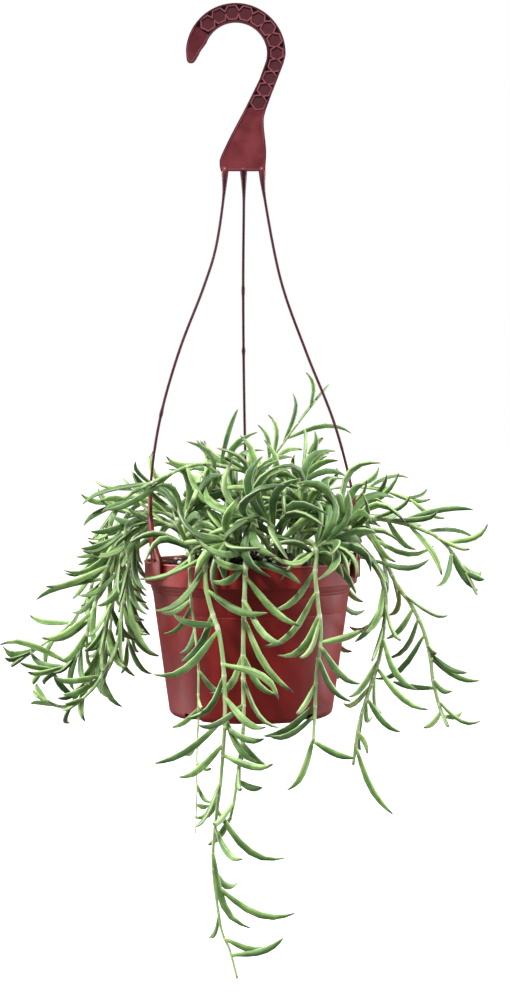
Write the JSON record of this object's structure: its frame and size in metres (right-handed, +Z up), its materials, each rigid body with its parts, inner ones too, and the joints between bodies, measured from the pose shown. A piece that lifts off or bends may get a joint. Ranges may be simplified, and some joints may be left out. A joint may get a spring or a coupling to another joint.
{
  "type": "potted string of fishhooks",
  "caption": "Trailing succulent with narrow hooked leaves on long hanging stems, in a red-brown plastic hanging pot with a three-wire hanger and a flat hook.",
  "frame": {"origin": "the point where the hook's inner crown bears on what it hangs from", "axes": "+Z up; X across the flat hook, to the right as seen from the front; +Y to the back"},
  "size_m": [0.3404, 0.2357, 0.6615],
  "materials": {
    "pot": "moulded, slightly glossy",
    "hanger": "moulded, satin",
    "soil": "crumbly damp peat with perlite",
    "leaf": "fleshy, waxy bloom"
  },
  "bodies": {
    "root": {"pot": "pot", "hanger": "hanger", "soil": "soil", "crown_back": "leaf", "crown_back_left": "leaf", "crown_back_right": "leaf", "crown_front": "leaf", "crown_front_left": "leaf", "crown_low": "leaf", "crown_low_right": "leaf", "crown_middle": "leaf", "crown_right": "leaf", "crown_right_mid": "leaf", "stem_back_a": "leaf", "stem_back_b": "leaf", "stem_back_c": "leaf", "stem_back_d": "leaf", "stem_front_long": "leaf", "stem_front_mid": "leaf", "stem_front_right": "leaf", "stem_front_thin": "leaf", "stem_left_a": "leaf", "stem_left_arch": "leaf", "stem_left_b": "leaf", "stem_left_c": "leaf", "stem_left_d": "leaf", "stem_left_e": "leaf", "stem_left_f": "leaf", "stem_left_g": "leaf", "stem_right_arch": "leaf", "stem_right_front": "leaf", "stem_right_long": "leaf", "stem_right_thin": "leaf", "stem_top_spray": "leaf", "stem_top_thin": "leaf"}
  },
  "joints": []
}
